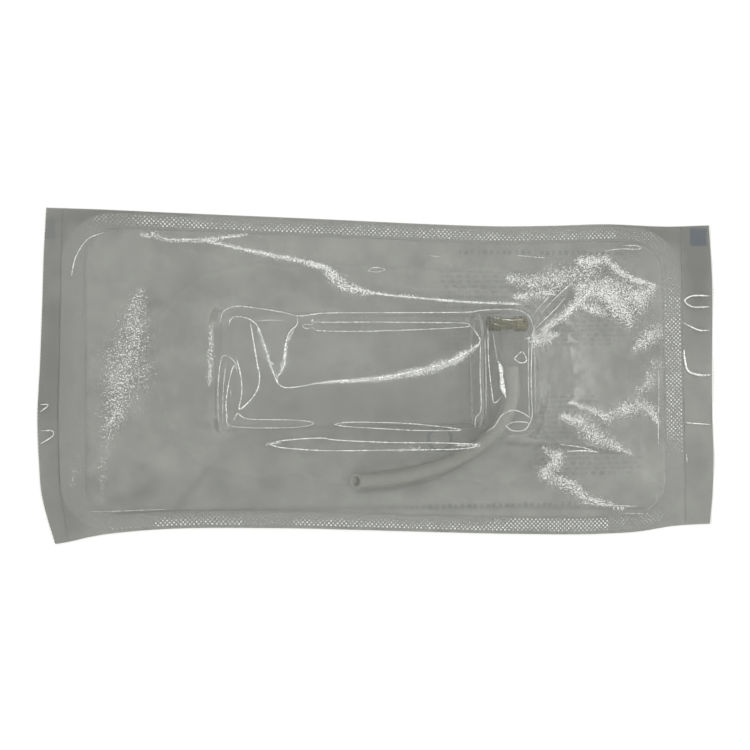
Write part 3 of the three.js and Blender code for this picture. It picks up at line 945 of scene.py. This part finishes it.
# Ridges of the film: half width, shine, then points (x, y) along each. The cover's first, then the ends'.
FOLDS = [
    # round the reservoir's far edge and the end cap's far right corner
    (0.3, 0.6, [(-76.6, 21), (-75.4, 25.5), (-72, 28), (-66, 28.5), (-50.5, 26), (-44, 24.3), (-37.5, 25),
     (-28, 25.7), (25.6, 26), (35, 26.8), (42.4, 27.2), (51, 27), (55.2, 24.6), (57, 19.6)]),
    (0.3, 0.5, [(57, 19.6), (56, 6), (55.7, -6), (56, -17), (55.2, -21.5), (53, -25)]),
    (0.28, 0.35, [(55, 14), (54.5, -1), (54.7, -19)]),
    # the long loop over the reservoir
    (0.3, 0.62, [(-73, 20), (-72, 23), (-69, 24), (-64, 22.7), (-60.6, 18.8), (-57, 7.5, 1.7),
     (-54.8, 0.6, 1.5), (-52.4, -4.4), (-47.8, -5.7), (-33, -3.6), (-20, -2.5, 1.3), (-7.2, -1.4, 1.5),
     (9.5, 1.8, 1.6), (22.2, 5.8, 1.5), (33, 12.2), (32.3, 16.6), (29.3, 20.3)]),
    (0.28, 0.75, [(-44.2, 23.5), (-44.8, 20.3), (-48, 17.2), (-49.8, 11.6, 1.8), (-50.3, 3.6, 1.6),
     (-52.8, -0.9), (-54.5, 0.1)]),
    (0.25, 0.45, [(-62, 22), (-56, 22.4), (-50, 22.2)]),
    # at the base cap
    (0.36, 0.8, [(-64, 21), (-61.5, 4.7), (-60.5, -2, 1.4), (-62.4, -8.3), (-68.8, -14.5), (-68, -8.3),
     (-68.2, -1.3), (-70, 6.5)]),
    (0.25, 0.5, [(-77.6, -19.7), (-77.7, -7), (-76.8, 3.8), (-75.3, 7.7), (-71.8, 6.2), (-69.3, 2.7)]),
    (0.22, 0.35, [(-76, -19.7), (-75.6, -7), (-74.5, 4.7)]),
    (0.28, 0.6, [(-73.8, -19), (-74.5, -12), (-73, -2.3), (-71, 3.7), (-69.6, 1)]),
    (0.22, 0.5, [(-72.3, -9.3), (-72.6, -6.8), (-71.8, -5.3)]),
    # long thin lenses along both edges
    (0.25, 0.5, [(-74.5, -15), (-73.4, -20.7), (-65, -22.2), (-45, -22.3), (-37.7, -20.7), (-45, -19.3),
     (-63.4, -18.7), (-68, -17.5), (-69.6, -16), (-71.4, -19.3)]),
    (0.25, 0.6, [(-29, -21.3), (-23.6, -20.5), (-7, -20.8), (9, -21.9), (26.6, -24.4), (9, -24.4),
     (-6.6, -23.5), (-23.4, -22.3), (-29, -21.3)]),
    (0.25, 0.6, [(-37.8, 22.7), (-36.7, 21.6), (-12, 21.6), (24.6, 21.2), (29, 20.5), (24.4, 19.2),
     (-12.3, 17.7), (-35, 17.9), (-38, 19.2), (-41, 18.8), (-42.4, 19.8), (-41, 20.6), (-38.3, 20.5),
     (-37.8, 22.7)]),
    (0.32, 0.75, [(-55.7, -29.4), (-50.7, -27.9), (-35, -27), (-27, -28), (-6, -29.3), (20.5, -30),
     (34, -31), (26, -32.7), (-5.6, -32.7), (-32, -32.4), (-49.5, -31), (-55.7, -29.4)]),
    # round the end cap
    (0.3, 0.5, [(33.8, 12), (33.5, -1), (33.8, -15.4), (31.8, -19.5), (32, -24)]),
    (0.28, 0.35, [(35.8, 15.5), (36, -1), (36, -18.6)]),
    (0.28, 0.6, [(37, 19.7), (37.3, 4), (38.4, -8.3), (39.4, -13), (42.7, -10.4)]),
    (0.25, 0.4, [(39, 18), (40.3, 8.8), (41, 4)]),
    (1.3, 0.8, [(41.4, 4.6, 0.8), (42.4, 1.5, 1.3), (42.6, -1.5, 0.9), (43, -6, 1.5), (44.4, -10.8, 0.6)]),
    (0.28, 0.6, [(36.7, -25.6), (39.8, -22.7), (42.2, -18.6), (47, -16.3), (51.3, -17.2), (55.4, -19.8)]),
    (0.28, 0.6, [(44.6, -22.8), (47.7, -21.3), (53, -21.4), (54.8, -22.7), (52.6, -25), (47.7, -24.9),
     (44.6, -22.8)]),
    (0.28, 0.65, [(48.2, 5.8), (51.9, 8.7), (53.8, 4.9), (51, 4), (48.2, 5.8)]),
    (0.3, 0.6, [(52.6, 13.9), (55, 14.4), (54.5, 11.8)]),
    (0.28, 0.55, [(43.5, 21.8), (44.1, 22.7), (48, 22.3), (52.2, 22.7), (52.4, 22)]),
    (0.25, 0.5, [(38.5, 21.2), (42.8, 19.9)]),
    (0.25, 0.45, [(38.6, 23.8), (42.4, 22.9)]),
    # the long crease, and folds off the end cap's corners
    (0.4, 0.55, [(-81.7, 58.3), (-65, 53.8), (-41, 49.4), (-28, 46)]),
    (0.45, 0.7, [(-13, 35.7), (-6.4, 34), (13.4, 32), (43, 29.8), (52.5, 29.8)]),
    (0.25, 0.6, [(58.6, 25), (70, 34.4)]),
    (0.25, 0.5, [(63.4, 26), (75.6, 36), (83.5, 42.4)]),
    (0.28, 0.6, [(58, 18.7), (71, 27.6), (78, 34)]),
    (0.3, 0.6, [(62, 16), (77, 25.8), (89.7, 36.4), (98.8, 43.8)]),
    (0.25, 0.5, [(57, 14.7), (66.4, 19), (77, 23.7)]),
    (0.3, 0.6, [(73, -31.6), (84, -33), (90.6, -34.8)]),
    (0.4, 0.7, [(77, -34.7), (86, -34.7), (93, -35.5)]),
    # inside the seal's edge
    (0.3, 0.6, [(-97, 58), (-81.7, 58.5), (-68, 59.7), (-63, 60.6)]),
    (0.35, 0.8, [(-137.4, 42.6), (-136, 49.4), (-133, 55.3), (-129.8, 58.7), (-124, 61)]),
    (0.25, 0.55, [(-12, 44.5), (-9, 46.3), (-4, 45.7), (-7, 44.4), (-12, 44.5)]),
    (0.3, 0.6, [(16, 52), (22.5, 51.5)]),
    (0.25, 0.6, [(56.5, 52.5), (70.4, 51.4)]),
    (0.28, 0.65, [(97.7, 55), (105, 56), (114, 56), (113, 57.5), (106, 57.6)]),
    (0.25, 0.6, [(83, -58), (99, -59.4), (111, -60.3)]),
    (0.28, 0.6, [(105, -63.3), (115, -63.6)]),
    (0.25, 0.45, [(122.2, 1), (122, -17.5), (121.7, -33)]),
    (0.25, 0.3, [(121.3, -52.7), (119.8, -58.4), (115.8, -62)]),
    (0.22, 0.3, [(-131, -57), (-115, -56.7), (-98, -56.5)]),
]
TAB_FOLDS = {
    "left": [(0.45, 0.9, [(-150.4, -11.5), (-147.2, -11.8), (-150.4, -14.6)]),
             (0.4, 0.9, [(-150.4, -22.6), (-145.8, -22.6), (-145.5, -24.8), (-150.4, -28)])],
    "right": [(0.55, 1.0, [(148, 35), (140, 35), (136.2, 32.7), (140, 30), (148, 30)]),
              (0.55, 1.0, [(135.6, 22.6), (138, 21.4), (143, 19.3), (148, 19.3)]),
              (0.75, 1.0, [(135.4, 10.6), (135.8, 5.4), (137.3, 0.7), (142.5, -1.2), (147.4, -1.2)]),
              (0.42, 0.9, [(135.4, -22.3), (137, -23), (147.6, -23.8)]),
              (0.6, 0.9, [(135.8, -37.3), (136, -40.6)])],
}


def unbent(px, py):
    """The point of the flat pouch that lies at a place of the bent one."""
    x, y = px, py
    for _ in range(6):
        bx, by = bent(x, y)
        x, y = x + px - bx, y + py - by
    return x, y


def height_at(sheet, px, py):
    """Height of a sheet (x, y, z grids of the flat pouch) under places of the bent pouch."""
    xs, ys, z = sheet[0][:, 0], sheet[1][0], sheet[2]
    x, y = unbent(px, py)
    along = np.clip((x - xs[0]) / (xs[1] - xs[0]), 0, len(xs) - 1.001)
    across = np.clip((y - ys[0]) / (ys[1] - ys[0]), 0, len(ys) - 1.001)
    return between(z, along, across)


# A ridge's section: across in half widths, and up in half widths from the film's face.
RIDGE = [(-1, 0.0), (-0.6, 0.35), (0, 0.5), (0.6, 0.35), (1, 0.0)]


def width_along(knots):
    """Shares of a ridge's length at its knots, and the width factors there."""
    steps = [math.dist(a[:2], b[:2]) for a, b in zip(knots, knots[1:])]
    return np.concatenate([[0], np.cumsum(steps) / sum(steps)]), [k[2] for k in knots]


def add_folds(name, lines, sheet, turn):
    points, faces, shine = [], [], []
    for half, shines, knots in lines:
        flat = [(*knot, 1.0)[:3] for knot in knots]
        length = sum(math.dist(a, b) for a, b in zip(flat, flat[1:]))
        path, _ = through(flat, max(6, round(length / 0.7)))
        widths = np.interp(np.linspace(0, 1, len(path)), *width_along(flat))
        along = np.gradient(path[:, :2], axis=0)
        along /= np.linalg.norm(along, axis=1)[:, None]
        closed = knots[0] == knots[-1]
        ends = np.minimum(np.arange(len(path)), np.arange(len(path))[::-1]) * 0.7
        wide = 0.66 * half * widths * (1 if closed else np.clip(0.3 + ends / 4, 0.3, 1))
        base, count = len(points), len(RIDGE) + 2
        for across, up in RIDGE + [(0.8, -0.35), (-0.8, -0.35)]:
            px = path[:, 0] - along[:, 1] * wide * across
            py = path[:, 1] + along[:, 0] * wide * across
            z = height_at(sheet, px, py) + (wide * up if up >= 0 else -FILM_THICK * 0.6)
            points += list(zip(px, py, z))
        size = len(path)
        for k in range(count):
            here, there = base + k * size, base + (k + 1) % count * size
            faces += [(here + i, there + i, there + i + 1, here + i + 1) for i in range(size - 1)]
        begin = [base + k * size for k in range(count)]
        faces += [begin, [number + size - 1 for number in begin][::-1]]
        shine += [shines] * (size * count)
    folds = new_object(name, points, faces, FOLD)
    set_attribute(folds, "shine", shine)
    outward(folds)
    declare_bent(folds, "clear_film", turn)


def add_film():
    x, y = grid(FOLD_LEFT, FOLD_RIGHT, -HALF_WIDTH, HALF_WIDTH, FILM_CELL)
    px, py = bent(x, y)
    z, from_seal, contents = film_heights(x, y, px, py)
    free = unit(from_seal / 10) * unit((z - contents - 1) / 6)
    z = z + free * (0.5 * waves(px, py, 38, 21) + 0.25 * waves(px, py, 16, 22))
    z = z + crown(px, py) + crease(px, py) + wrinkles(px, py)
    stretched = unit((z - 5) / 6)
    emboss = 1 - 0.96 * stretched
    top = np.stack([px, py, z], -1)
    # The frost attribute carries the painted glints.
    cover = closed_sheet("film_cover", top, FILM_THICK, FILM, emboss=emboss, frost=frost(px, py))
    turn = ("root", "film_lid", PEEL_LINE - PEEL_BEND / 2, PEEL_LINE + PEEL_BEND / 2)
    declare_bent(cover, "clear_film", turn, "film_lid", "film_seal_strip")
    add_folds("film_folds", FOLDS, (x, y, z), turn)
    add_film_end("left", TAB_LEFT, FOLD_LEFT, FOLD_LEFT, "root")
    add_film_end("right", FOLD_RIGHT, TAB_RIGHT, FOLD_RIGHT, "film_lid")


def add_film_end(side, left, right, fold, body):
    """The loose film outside an end seal, which lies in shallow ripples."""
    x, y = grid(left, right, -HALF_WIDTH, HALF_WIDTH, 0.4)
    px, py = bent(x, y)
    px = px + pinked(x, y, TAB_LEFT if side == "left" else TAB_RIGHT) - x
    away = np.abs(x - fold) / abs(right - left)
    ripple = 0.9 + waves(px * 0.5, py, 34, 8 if side == "left" else 9)
    z = FLANGE_TOP + unit(away) ** 1.5 * np.clip(ripple, 0.05, 2) * 1.1
    look = {"emboss": 0 * z + 0.15, "frost": 0 * z}
    piece = closed_sheet(f"film_end_{side}", np.stack([px, py, z], -1), FILM_THICK, FILM, **look)
    turn = (body, f"film_tab_{side}", fold, fold + (TAB_BEND if side == "right" else -TAB_BEND))
    declare_bent(piece, "clear_film", turn, f"film_tab_{side}")
    add_folds(f"film_folds_{side}", TAB_FOLDS[side], (x, y, z), turn)


# ---- Seal ----


def knurl_shine(x, y):
    """How brightly the knurl's dots shine: in wandering rows on the long seals, and all over the right one."""
    far = math.exp(-(((y - 63.8 - 0.9 * math.sin(x / 21 + 1)) / 2.1) ** 2))
    far *= 0.15 if x > 104 or x < -112 else 0.75
    row = -68.3 + 4.2 * unit((x - 40) / 20)
    near = math.exp(-(((y - row) / 2.6) ** 2)) * (1.4 if -103 < x < -66 or -45 < x < 98 else 0.15)
    right = 0.72 * (x > 126) * math.exp(-(((y - 4) / 34) ** 4))
    return 0.04 + max(far, near, right)


def rounded_loop(low, high, half, corner, steps=14, sides=48):
    """Points round a rounded rectangle of the flat pouch, anticlockwise, as many for every size."""
    middles = [(high - corner, half - corner), (low + corner, half - corner),
               (low + corner, corner - half), (high - corner, corner - half)]
    loop = []
    for quarter, (cx, cy) in enumerate(middles):
        angles = (quarter + np.arange(steps + 1) / steps) * math.pi / 2
        loop += list(zip(cx + corner * np.cos(angles), cy + corner * np.sin(angles)))
        nx, ny = middles[(quarter + 1) % 4]
        begin = np.array(loop[-1])
        stop = np.array([nx + corner * math.cos(angles[-1]), ny + corner * math.sin(angles[-1])])
        loop += [tuple(begin + (stop - begin) * i / sides) for i in range(1, sides)]
    return np.array(loop)


def add_coating():
    """The dried coating under the knurl: a thin rounded frame on the paper."""
    outer = rounded_loop(SEAL_LOW[0], SEAL_HIGH[0], SEAL_HIGH[1], OUTER_CORNER)
    inner = rounded_loop(PEEL_LINE, SEAL_RIGHT, SEAL_HALF, SEAL_CORNER)
    rings = [(outer + (inner - outer) * share, SEAL_HIGH[2]) for share in np.linspace(0, 1, 7)]
    rings += [(inner, SEAL_LOW[2]), (outer, SEAL_LOW[2])]
    points, tone, faces = [], [], []
    for flat, height in rings:
        px, py = bent(flat[:, 0], flat[:, 1])
        points += list(zip(px, py, np.full(len(px), height)))
        # The coating takes 0.6 of the paper's tone, painted shadow and painted light included.
        tone += list(0.6 * paper_tone(px, py))
    for k in range(len(rings)):
        faces += band(k * len(outer), (k + 1) % len(rings) * len(outer), len(outer))
    coating = new_object("coating", points, faces, coating_material(), smooth=False)
    set_attribute(coating, "tone", tone)
    outward(coating)
    declare(coating, "seal_coating", "root", "seal_coating")


def add_seal():
    """Rows of small pyramids pressed into the film over the seal."""
    pitch, half, tall = 1.9, 0.36, 0.16
    rows = {"film_knurl_fixed": [], "film_knurl_lid": []}
    for i, cx in enumerate(np.arange(SEAL_LOW[0] + 1, SEAL_HIGH[0] - 0.6, pitch * 0.5)):
        for cy in np.arange(SEAL_LOW[1] + 0.8 + (i % 2) * pitch * 0.5, SEAL_HIGH[1] - 0.6, pitch):
            at = np.array(cx), np.array(cy)
            inner = outside_rounded(*at, PEEL_LINE, SEAL_RIGHT, SEAL_HALF, SEAL_CORNER)
            outer = outside_rounded(*at, SEAL_LOW[0], SEAL_HIGH[0], SEAL_HIGH[1], OUTER_CORNER)
            if inner > 0.6 and outer < -0.6 and abs(cx - PEEL_LINE) > 0.8:
                rows["film_knurl_fixed" if cx < PEEL_LINE else "film_knurl_lid"].append((cx, cy))
    rng = np.random.default_rng(17)
    for name, centres in rows.items():
        points, faces, shine = [], [], []
        for cx, cy in centres:
            bx, by = bent(np.array(cx), np.array(cy))
            base = len(points)
            for reach, height in ((half, FLANGE_TOP - 0.05), (half * 0.35, FLANGE_TOP + tall)):
                for dx, dy in ((-1, -1), (1, -1), (1, 1), (-1, 1)):
                    points.append((bx + dx * reach, by + dy * reach, height))
            faces += [(base + 3, base + 2, base + 1, base), (base + 4, base + 5, base + 6, base + 7)]
            faces += band(base, base + 4, 4)
            shine += [knurl_shine(cx, cy) * rng.uniform(0.5, 1.3)] * 8
        knurl = new_object(name, points, faces, FOLD, smooth=False)
        set_attribute(knurl, "shine", shine)
        declare(knurl, "clear_film", "root" if name == "film_knurl_fixed" else "film_lid")


# ---- Reservoir ----


def size_of(low, high, corner):
    return (high[1] - low[1]) / 2, (high[2] - low[2]) / 2, corner, (high[1] + low[1]) / 2


def section(x, size, by=0.0):
    """A section at x of a rounded block's size, grown by a distance."""
    half_width, half_height, corner, middle = size
    return x, half_width + by, half_height + by, corner + by, middle


def profile(size, *steps):
    """Sections of a rounded block at (x, growth) steps."""
    return [section(x, size, by) for x, by in steps]


def round_edge(x, size, radius, direction, steps=6):
    """Sections that round an end's outer edge, from the end's plane inwards."""
    turns = [i / steps * math.pi / 2 for i in range(steps + 1)]
    arc = [(x + direction * radius * (1 - math.cos(a)), -radius * (1 - math.sin(a))) for a in turns]
    return profile(size, *arc)


# Each size holds the half width, the half height, the corner and the middle's y.
BODY_SIZE = (BODY_WIDE / 2, BODY_TALL / 2, BODY_CORNER, (BODY_LOW[1] + BODY_HIGH[1]) / 2)
BODY_WALL = 1.3
BASE_SIZE = size_of(BASE_LOW, BASE_HIGH, BASE_CORNER)
BASE_WALL = 0.9
CAP_SIZE = size_of(CAP_LOW, CAP_HIGH, CAP_CORNER)
CAP_WALL = 1.6
CAP_LEFT = 37.9
CAP_PLATE = 2.0
NECK_SIZE = (26.0, 11.3, 10.0, BODY_SIZE[3])
NECK_LEFT = 36.0
PLUG_LEFT = CAP_LOW[0]
PORT_Y = 21.5


def add_body():
    left, right = BODY_LOW[0], BODY_HIGH[0]
    lip = 0.8
    outer = profile(BODY_SIZE, (left, 0), (right - 3.2, 0), (right - 2.6, 0.15), (right - 2.0, lip),
                    (right - 0.3, lip), (right, lip - 0.3))
    inner = profile(BODY_SIZE, (right, -BODY_WALL + 0.3), (right - 0.5, -BODY_WALL), (left, -BODY_WALL))
    finish_device(shell("body_shell", outer + inner, CLEAR, loop=True), "reservoir_body")


def add_base():
    left, right = BASE_LOW[0], BASE_HIGH[0]
    rest = profile(BASE_SIZE, (left + 3.2, -0.35), (left + 3.9, 0), (right - 0.2, 0), (right, -0.2),
                   (right, -BASE_WALL), (BODY_LOW[0] - 0.3, -BASE_WALL))
    base = shell("base_shell", round_edge(left, BASE_SIZE, BASE_ROUND, 1) + rest, CLEAR)
    finish_device(base, "base_cap")


def add_cap():
    right = CAP_HIGH[0]
    plate = CAP_LEFT + CAP_PLATE
    plug_out, plug_in = -BODY_WALL - 0.3, -BODY_WALL - 1.3
    recess = profile(CAP_SIZE, (plate, -CAP_WALL - 1.0), (plate + 0.3, -CAP_WALL - 0.3),
                     (plate + 1.0, -CAP_WALL), (right - 0.3, -CAP_WALL), (right, -CAP_WALL + 0.3))
    rim = round_edge(right, CAP_SIZE, 1.1, -1)
    left = round_edge(CAP_LEFT, CAP_SIZE, 3.0, 1)[::-1]
    neck = profile(NECK_SIZE, (CAP_LEFT, 0), (NECK_LEFT + 0.4, 0), (NECK_LEFT, -0.4))
    plug = profile(BODY_SIZE, (NECK_LEFT, plug_out), (PLUG_LEFT + 0.4, plug_out), (PLUG_LEFT, plug_out - 0.4),
                   (PLUG_LEFT, plug_in), (NECK_LEFT, plug_in))
    cap = shell("cap_shell", recess + rim + left + neck + plug, CLEAR)
    path, _ = through(TUBE_ROUTE, 70)
    cut(cap, hollow_tube("notch_cutter", path, TUBE_OUTER + 1.0, 0, CLEAR))
    bore = [(0.0, PLUG_LEFT), (1.3, PLUG_LEFT), (1.3, plate + 3), (0.0, plate + 3)]
    cut(cap, spin("bore_cutter", bore, "X", (0, PORT_Y, AXIS_Z), CLEAR))
    finish_device(cap, "end_cap")
    spigot = [(1.3, plate - 0.05), (2.5, plate - 0.05), (2.5, 46.2), (2.2, 46.5), (1.3, 46.5)]
    finish_device(spin("cap_spigot", spigot, "X", (0, PORT_Y, AXIS_Z), CLEAR))


def finish_device(made, node=None, slot="clear_shell"):
    smooth_by_angle(made, 35)
    declare(made, slot, "root", *([node] if node else []))


def add_gasket():
    left, right = GASKET_LOW[0], GASKET_HIGH[0]
    ring = profile(BODY_SIZE, (left, -0.3), (left + 0.3, 0), (right - 0.3, 0), (right, -0.3),
                   (right, -BODY_WALL), (left, -BODY_WALL))
    finish_device(shell("gasket_ring", ring, SILICONE, loop=True), "mouth_gasket", "silicone")


def add_funnel():
    middle = (FUNNEL_LOW + FUNNEL_HIGH) / 2
    low, high = FUNNEL_LOW[1], FUNNEL_HIGH[1]
    bore, socket = 2.2, 3.0
    outline = [(bore, low), (3.5, low), (3.8, low + 0.3), (3.85, low + 1.2)]
    outline += [(3.85 + 1.05 * t, low + 1.2 + 10.8 * t) for t in (0.25, 0.5, 0.75, 1.0)]
    outline += [(4.9, high - 0.3), (4.6, high), (socket, high), (socket, high - 2.5), (bore, high - 2.5)]
    funnel = spin("funnel", outline, "Y", (middle[0], 0, middle[2]), CLEAR)
    finish_device(funnel, "funnel_connector")


def add_elbow():
    """Amber fitting: a collar with ribs, a waist, and a round head with the side outlet under it."""
    left, right = ELBOW_LOW[0], ELBOW_HIGH[0]
    radius = (ELBOW_HIGH[2] - ELBOW_LOW[2]) / 2
    collar_bore, collar_end, bore, bore_end = 2.8, 47.0, 1.5, 51.7
    outline = [(collar_bore, left), (radius - 0.3, left)]
    ribs, rib_pitch, first = 4, 1.45, left + 0.4
    rib = [(0.8, 0), (0.1, 0.25), (0.1, 0.7), (0.8, 1.0)]
    for i in range(ribs):
        outline += [(radius - inset, first + i * rib_pitch + along) for inset, along in rib]
    waist = first + ribs * rib_pitch + 0.4
    outline += [(radius - 0.9, waist), (radius - 0.9, right - 5.6), (radius, right - 5.2)]
    outline += [(radius, right - 0.8)]
    outline += [(radius - 0.25, right - 0.3), (radius - 0.8, right), (0.01, right), (0.01, bore_end)]
    outline += [(bore, bore_end), (bore, collar_end), (collar_bore, collar_end)]
    elbow = spin("elbow_fitting", outline, "X", (0, PORT_Y, AXIS_Z), AMBER, sides=36)
    finish_device(elbow, "elbow_connector", "amber_plastic")
    near, far = ELBOW_LOW[1], PORT_Y - 2.6
    outlet = [(bore, near), (2.5, near), (2.7, near + 0.3), (2.7, far), (bore, far)]
    side = spin("elbow_outlet", outlet, "Y", (TUBE_ROUTE[0][0], 0, AXIS_Z), CLEAR)
    finish_device(side, None, "amber_plastic")


def paint_valve():
    frame["nodes"]["valve_flap"].data.materials[0] = SILICONE
    frame["nodes"]["flap_bar"].data.materials[0] = CLEAR


# ---- Floor ----


def add_floor():
    half = 1500.0
    points = [(-half, -half, 0), (half, -half, 0), (half, half, 0), (-half, half, 0)]
    floor = new_object("floor", points, [(0, 1, 2, 3)], floor_material(), smooth=False)


add_camera()
add_tube()
FILM = film_material()
FOLD = fold_material()
PAPER = paper_material()
CLEAR = clear_plastic_material()
SILICONE = silicone_material()
AMBER = amber_material()
add_lights()
add_floor()
add_paper()
add_coating()
add_seal()
add_film()
add_body()
add_base()
add_cap()
add_gasket()
add_funnel()
add_elbow()
paint_valve()
